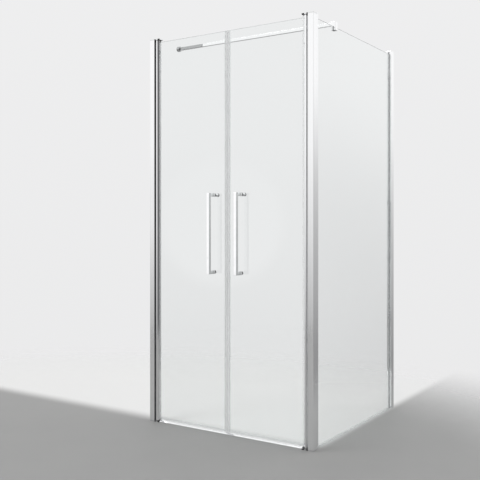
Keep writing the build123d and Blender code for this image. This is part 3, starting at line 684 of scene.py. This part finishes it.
def stacked_rings(half_width, half_height, corner, stations, per_corner=7):
    """Rings of one rounded rectangle laid over each other, each drawn in by an inset and lifted to a height.

    At angle a the ring is (+-(A - d - r) + r cos a, +-(B - d - r) + r sin a) with r = max(corner - d, 0).
    """
    inset, height = np.array(stations, float).T[:, :, None]
    angle = (np.linspace(0, 0.5 * np.pi, per_corner) + 0.5 * np.pi * np.arange(4)[:, None]).ravel()
    along_x = np.repeat([1, -1, -1, 1], per_corner)
    along_y = np.repeat([1, 1, -1, -1], per_corner)
    r = np.maximum(corner - inset, 0)
    x = along_x * (half_width - inset - r) + r * np.cos(angle)
    y = along_y * (half_height - inset - r) + r * np.sin(angle)
    return np.stack([x, y, height + 0 * angle], -1)


chrome = polished_chrome("polished_chrome")
black_rubber = moulding(
    "black_rubber", (0.014, 0.015, 0.016, 1), (0.035, 0.036, 0.038, 1), (0.55, 0.72), 1100.0, 1.6e-5
)
handle_x = 80
bar_back_y = -41
stud_start_y = -26.5
pane_half = 3
fixing_heights = (796, 1178)
post_stations = [
    (0.4, 0), (0.1, 0.1), (0, 0.4), (0, 20.8), (0.2, 21.0), (0.9, 21.1), (0.9, 22.3), (0.2, 22.4), (0, 22.6),
    (0, 36.1), (0.1, 36.4), (0.4, 36.5),
]
spacer_stations = [(0.4, 0), (0.12, 0.1), (0, 0.35), (0, 1.1), (0.12, 1.38), (0.4, 1.47)]
washer_profile = [(3.1, 0.04), (8.6, 0.04), (8.9, 0.2), (8.9, 0.8), (8.6, 0.98), (3.1, 0.98)]
knob_profile = [
    (8.0, 0), (8.7, 0.1), (9.0, 0.5), (9.0, 16.6), (8.9, 16.9), (8.6, 17.0), (8.5, 17.3), (8.5, 18.1),
    (8.6, 18.4), (8.9, 18.5), (9.0, 18.8), (9.0, 21.6), (8.8, 21.9), (8.4, 22),
]
knob_end_profile = [
    (8.2, 22), (8.7, 22.1), (8.9, 22.5), (8.9, 28.4), (8.7, 29.3), (8.1, 29.85), (7.2, 30), (6.4, 29.8),
    (3.5, 29.5), (0.4, 29.4),
]
cap_profile = [
    (8.4, 0), (8.8, 0.15), (9.0, 0.5), (9.0, 2.4), (8.8, 3.2), (8.2, 3.8), (7.3, 4), (6.5, 4), (6.3, 3.8),
    (5.9, 3.8), (5.7, 4), (0.4, 4),
]


def threaded_stud(radius, reach, pitch=1.0, count=32):
    """A plain threaded rod along w: its radius is r - 0.2 (1 - cos(2 pi w / pitch - angle))."""
    angle = np.linspace(0, 2 * np.pi, count, endpoint=False)
    run = np.arange(0, reach, pitch / 6)[:, None]
    around = radius - 0.2 * (1 - np.cos(2 * np.pi * run / pitch - angle))
    return np.stack([around * np.cos(angle), around * np.sin(angle), run + 0 * angle], -1)


for side, sign in (("left", -1), ("right", 1)):
    x = sign * handle_x
    dress(chrome, side + "_handle_bar")
    post = stacked_rings(8, 9, 0.5, post_stations)
    posts = solid(side + "_post_pair", [laid(post, 1, (x, bar_back_y, z)) for z in fixing_heights])
    posts.data.materials.append(chrome)
    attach(posts, side + "_leaf")
    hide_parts(side + "_handle_posts")
    spacer = stacked_rings(8, 9, 0.8, spacer_stations)
    outer = [laid(spacer, 1, (x, -pane_half - 1.5, z)) for z in fixing_heights]
    inner = [laid(lathe(washer_profile), 1, (x, pane_half, z)) for z in fixing_heights]
    spacers = solid(side + "_spacer_set", outer + inner)
    spacers.data.materials.append(black_rubber)
    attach(spacers, side + "_leaf")
    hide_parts(side + "_handle_spacers")
    lower = laid(threaded_stud(3.0, 32.5), 1, (x, stud_start_y, fixing_heights[0]))
    upper = laid(threaded_stud(3.0, 51.5), 1, (x, stud_start_y, fixing_heights[1]))
    studs = solid(side + "_stud_pair", [lower, upper])
    studs.data.materials.append(steel)
    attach(studs, side + "_leaf")
    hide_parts(side + "_handle_studs")
    knob_place = (x, pane_half + 1, fixing_heights[1])
    knob = solid(side + "_knob_turned", [laid(lathe(knob_profile), 1, knob_place)])
    knob.data.materials.append(chrome)
    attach(knob, side + "_leaf")
    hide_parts(side + "_inner_knob")
    knob_end = solid(side + "_knob_end", [laid(lathe(knob_end_profile), 1, knob_place)])
    knob_end.data.materials.append(black_plastic)
    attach(knob_end, side + "_leaf")
    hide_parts(side + "_knob_ring")
    cap_place = (x, pane_half + 1, fixing_heights[0])
    cap = solid(side + "_cap_turned", [laid(lathe(cap_profile), 1, cap_place)])
    cap.data.materials.append(chrome)
    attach(cap, side + "_leaf")
    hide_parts(side + "_inner_cap")

# Side pane. The same clear toughened glass, fixed between the glazing profile behind the corner post and
# the rear jamb.
dress(pane_glass("side_pane", "side_glass", 0), "side_glass")

# Side strips. Clear vinyl channels bed both upright edges of the side pane in their profiles and run out
# over its faces; a third one seals its foot.


def bed_outline(back, edge, mouth, end):
    """A channel round the pane's edge seen from above: it runs from its back, past the edge and the
    profile's mouth, where it is flared, to its thin end.
    """
    way = 1 if end > back else -1
    half = [
        (3.4, back), (4.1, back + 0.6 * way), (4.1, mouth - 0.2 * way), (4.8, mouth + 0.5 * way),
        (4.7, mouth + 2.4 * way), (3.7, end - way), (3.3, end), (3.05, end), (3.05, edge),
    ]
    other = [(-x, y) for x, y in reversed(half)]
    return softened(half + other, 0.45) + (side_pane_x, 0)


foot_seat_z = 3.0
front_outline = bed_outline(20.35, 21.25, 29.5, 43.5)
front_bed = solid("side_front_bed", [carried(front_outline, foot_seat_z, seal_high_z)])
front_bed.data.materials.append(upright_vinyl)
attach(front_bed, "frame")
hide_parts("side_front_strip")
rear_outline = bed_outline(924.45, 923.55, 912.5, 898.5)
rear_bed = solid("side_rear_bed", [carried(rear_outline, foot_seat_z, seal_high_z)])
rear_bed.data.materials.append(upright_vinyl)
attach(rear_bed, "frame")
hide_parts("side_rear_strip")

depth_vinyl = clear_vinyl("depth_vinyl", (1100, 2, 1100))
foot_outline = softened(
    [
        (-4.2, 0), (4.2, 0), (4.2, 8.8), (3.6, 10.0), (3.05, 9.4), (3.05, 2.95), (-3.05, 2.95), (-3.05, 9.4),
        (-3.6, 10.0), (-4.2, 8.8),
    ],
    0.4,
)
foot_run = laid(carried(foot_outline, 43.8, 898.2), 1, (side_pane_x, 0, 0))
foot_strip = solid("side_foot_bed", [foot_run])
foot_strip.data.materials.append(depth_vinyl)
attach(foot_strip, "frame")
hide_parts("side_floor_strip")

# Profile caps. Thin polished covers with a rounded rim close the glazing profile and the rear jamb at the
# top, level with the bearing plates.
cap_stations = [(0.3, 0), (0, 0.25), (0, 4.9), (0.25, 5.6), (0.8, 5.92), (1.6, 6.0), (3.0, 6.0)]
cap_seat_z = 1994
glazing_rings = stacked_rings(14.85, 6.0, 0.8, cap_stations)
glazing_cap = solid("glazing_cap_formed", [laid(glazing_rings, 2, (side_pane_x, 23.5, cap_seat_z))])
glazing_cap.data.materials.append(upright_profile)
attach(glazing_cap, "frame")
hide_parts("glazing_profile_cap")
rear_rings = stacked_rings(14.85, 17.5, 0.8, cap_stations)
rear_cap = solid("rear_cap_formed", [laid(rear_rings, 2, (side_pane_x, 930, cap_seat_z))])
rear_cap.data.materials.append(upright_profile)
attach(rear_cap, "frame")
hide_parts("rear_jamb_cap")

# Brace bar. A round wall rosette with a tongue, a slotted fork on it, a square chrome tube whose wall end is
# coloured a darker grey, and a clamp that sits on the side pane over a rubber lining and grips it with two
# grub screws.
part_grey_chrome = polished_chrome("part_grey_chrome", -0.31)
dress(part_grey_chrome, "brace_bar", "brace_rosette", "brace_fork")
dress(chrome, "brace_glass_clamp")


def wide_hexagon(angle):
    """The larger socket of the joint screw, 3.6 mm across its flats."""
    return hexagon(angle, 3.6)


joint_turns = screw_turns(4.0, 2.3, 2.5, 12.3, wide_hexagon)
joint_screw = solid("brace_joint_turned", [laid(joint_turns, 1, (-451.5, 217.5, 1996), -1)])
joint_screw.data.materials.append(steel)
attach(joint_screw, "frame")
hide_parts("brace_joint_screw")
grub_turns = screw_turns(2.5, 0.5, 2.5, 7.5, hexagon)
grub_pair = [laid(grub_turns, 0, (456.15, y, 1974), -1) for y in (216.5, 228.5)]
grub_screws = solid("brace_grub_pair", grub_pair)
grub_screws.data.materials.append(steel)
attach(grub_screws, "frame")
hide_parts("brace_grub_screws")
lining_outline = softened(
    [
        (-4, 1965), (-3.04, 1965), (-3.04, 1983.04), (3.04, 1983.04), (3.04, 1965), (4, 1965),
        (4, 1984), (-4, 1984),
    ],
    0.3,
)
lining_run = laid(carried(lining_outline, 210.3, 234.7), 1, (side_pane_x, 0, 0))
lining = solid("brace_clamp_lining", [lining_run])
lining.data.materials.append(black_rubber)
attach(lining, "frame")
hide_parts("brace_clamp_pad")

# Studio floor. A plain floor, grey in front of the door and pale behind it as in the photograph. It fades
# into the background some way off and keeps the shadow.
floor_mesh = bpy.data.meshes.new("studio_floor")
floor_reach = 9.0
floor_height = -0.0005
corners = [(-1, -1), (1, -1), (1, 1), (-1, 1)]
corners = [(floor_reach * x, floor_reach * y, floor_height) for x, y in corners]
floor_mesh.from_pydata(corners, [], [(0, 1, 2, 3)])
floor = bpy.data.objects.new("studio_floor", floor_mesh)
bpy.context.scene.collection.objects.link(floor)
floor_paint, tree, shader, place = new_finish("floor_paint", {"Roughness": 0.6})
grit = add_node(tree, "TexNoise", {"Vector": place, "Scale": 3.0, "Detail": 5.0})
front = blended(tree, grit.outputs["Fac"], (0.315, 0.315, 0.315, 1), (0.345, 0.345, 0.34, 1))
spot = add_node(tree, "SeparateXYZ", {0: place}).outputs
rise = {"Value": spot["Y"], "From Min": -0.03, "From Max": 0.13}
behind = add_node(tree, "MapRange", rise, interpolation_type="SMOOTHSTEP").outputs[0]
fall = {"Value": spot["X"], "From Min": 0.51, "From Max": 0.43}
within = add_node(tree, "MapRange", fall, interpolation_type="SMOOTHSTEP").outputs[0]
inside = add_node(tree, "Math", {0: behind, 1: within}, operation="MULTIPLY").outputs[0]
tree.links.new(blended(tree, inside, front, (0.84, 0.84, 0.835, 1)), shader["Base Color"])
away = add_node(tree, "VectorMath", {0: place, 1: (-0.3, -0.9, 0)}, operation="DISTANCE")
fade = add_node(
    tree,
    "MapRange",
    {"Value": away.outputs["Value"], "From Min": 1.8, "From Max": 3.3},
    interpolation_type="SMOOTHSTEP",
)
painted = tree.nodes["Principled BSDF"].outputs[0]
gone = add_node(tree, "BsdfTransparent").outputs[0]
fading = add_node(tree, "MixShader", {0: fade.outputs[0], 1: painted, 2: gone})
tree.links.new(fading.outputs[0], tree.nodes["Material Output"].inputs["Surface"])
floor_mesh.materials.append(floor_paint)

# Studio light. A plain pale surround, seen directly and through the glass, with two broad soft lamps. Metal
# shows its pale backdrop too, white overhead and grey low down, with the areas listed below.
surround = bpy.data.worlds.new("studio_surround")
bpy.context.scene.world = surround
surround.use_nodes = True
tree = surround.node_tree
heading = tree.nodes.new("ShaderNodeTexCoord").outputs["Generated"]
upness = add_node(tree, "SeparateXYZ", {0: heading}).outputs["Z"]
height = add_node(tree, "MapRange", {"Value": upness, "From Min": -0.5, "From Max": 0.5}).outputs[0]
ramp = add_node(tree, "ValToRGB", {0: height})
stops = ramp.color_ramp.elements
stops[0].position = 0.15
stops[0].color = (0.33, 0.33, 0.335, 1)
stops[1].position = 0.80
stops[1].color = (1, 1, 1, 1)
for position, grey in ((0.33, 0.38), (0.40, 0.57), (0.50, 0.78), (0.60, 0.95), (0.70, 1.0)):
    stops.new(position).color = (grey, grey, grey, 1)


def toward(direction, start, end, most):
    """How far a heading lies towards a direction: 0 below the cosine start, and the most above end."""
    near = add_node(tree, "VectorMath", {0: heading, 1: direction}, operation="DOT_PRODUCT")
    limits = {"Value": near.outputs["Value"], "From Min": start, "From Max": end, "To Max": most}
    return add_node(tree, "MapRange", limits, interpolation_type="SMOOTHSTEP").outputs[0]


shaded_right_side = ((0.82, -0.57, 0.0), 0.55, 0.93, 1.0)
duller_rear = ((0.53, 0.83, -0.15), 0.93, 0.99, 0.5)
white_front_panel = ((-0.571, -0.821, 0.0), 0.9954, 0.9978, 1.0)
pale_backdrop = ((-0.55, 0.835, 0.0), 0.72, 0.84, 1.0)
shaded = blended(tree, toward(*shaded_right_side), ramp.outputs[0], (0.14, 0.14, 0.145, 1))
rear = blended(tree, toward(*duller_rear), shaded, (0.22, 0.22, 0.225, 1))
lit = blended(tree, toward(*white_front_panel), rear, (1.05, 1.05, 1.05, 1))
foot = {"Value": upness, "From Min": -0.215, "From Max": -0.16}
above_foot = add_node(tree, "MapRange", foot, interpolation_type="SMOOTHSTEP").outputs[0]
backdrop = add_node(tree, "Math", {0: toward(*pale_backdrop), 1: above_foot}, operation="MULTIPLY")
mirrored_surround = blended(tree, backdrop.outputs[0], lit, (0.84, 0.84, 0.845, 1))
ray = add_node(tree, "LightPath").outputs
either = {0: ray["Is Camera Ray"], 1: ray["Is Transmission Ray"]}
looked_through = add_node(tree, "Math", either, operation="MAXIMUM").outputs[0]
unmirrored = add_node(tree, "Math", {0: ray["Glossy Depth"], 1: 0.5}, operation="LESS_THAN").outputs[0]
seen = add_node(tree, "Math", {0: looked_through, 1: unmirrored}, operation="MULTIPLY").outputs[0]
seen_surround = blended(tree, height, (0.81, 0.81, 0.815, 1), (0.87, 0.87, 0.875, 1))
either = {0: looked_through, 1: ray["Is Glossy Ray"]}
direct = add_node(tree, "Math", either, operation="MAXIMUM").outputs[0]
background = tree.nodes["Background"].inputs
tree.links.new(blended(tree, seen, mirrored_surround, seen_surround), background["Color"])
tree.links.new(ranged(tree, direct, 0.9, 1.0), background["Strength"])


def soft_lamp(name, place, aim, size, power):
    """A broad square lamp that looks at a point."""
    lamp = bpy.data.lights.new(name, "AREA")
    lamp.size = size
    lamp.energy = power
    holder = bpy.data.objects.new(name, lamp)
    holder.location = place
    heading = np.array(aim, float) - np.array(place, float)
    yaw = np.arctan2(heading[0], -heading[1])
    pitch = np.arctan2(np.hypot(heading[0], heading[1]), -heading[2])
    holder.rotation_euler = (pitch, 0, yaw + np.pi)
    bpy.context.scene.collection.objects.link(holder)


soft_lamp("key_lamp", (-2.2, -3.0, 5.6), (0, 0.4, 0.9), 2.2, 60)
soft_lamp("fill_lamp", (3.2, 2.4, 5.2), (0, 0.4, 0.9), 2.2, 25)

# Camera. Level at eye height on the right, turned to the left as in the photograph, with the frame
# shifted slightly down.
camera_data = bpy.data.cameras.new("photo_camera")
camera_data.lens = 55.47
camera_data.sensor_width = 36.0
camera_data.shift_y = -0.0365
camera = bpy.data.objects.new("photo_camera", camera_data)
camera.location = (2.0496, -3.0014, 1.0413)
camera.rotation_euler = (np.radians(90), 0, np.radians(33.38))
bpy.context.scene.collection.objects.link(camera)
bpy.context.scene.camera = camera
bpy.context.scene.view_settings.view_transform = "Standard"
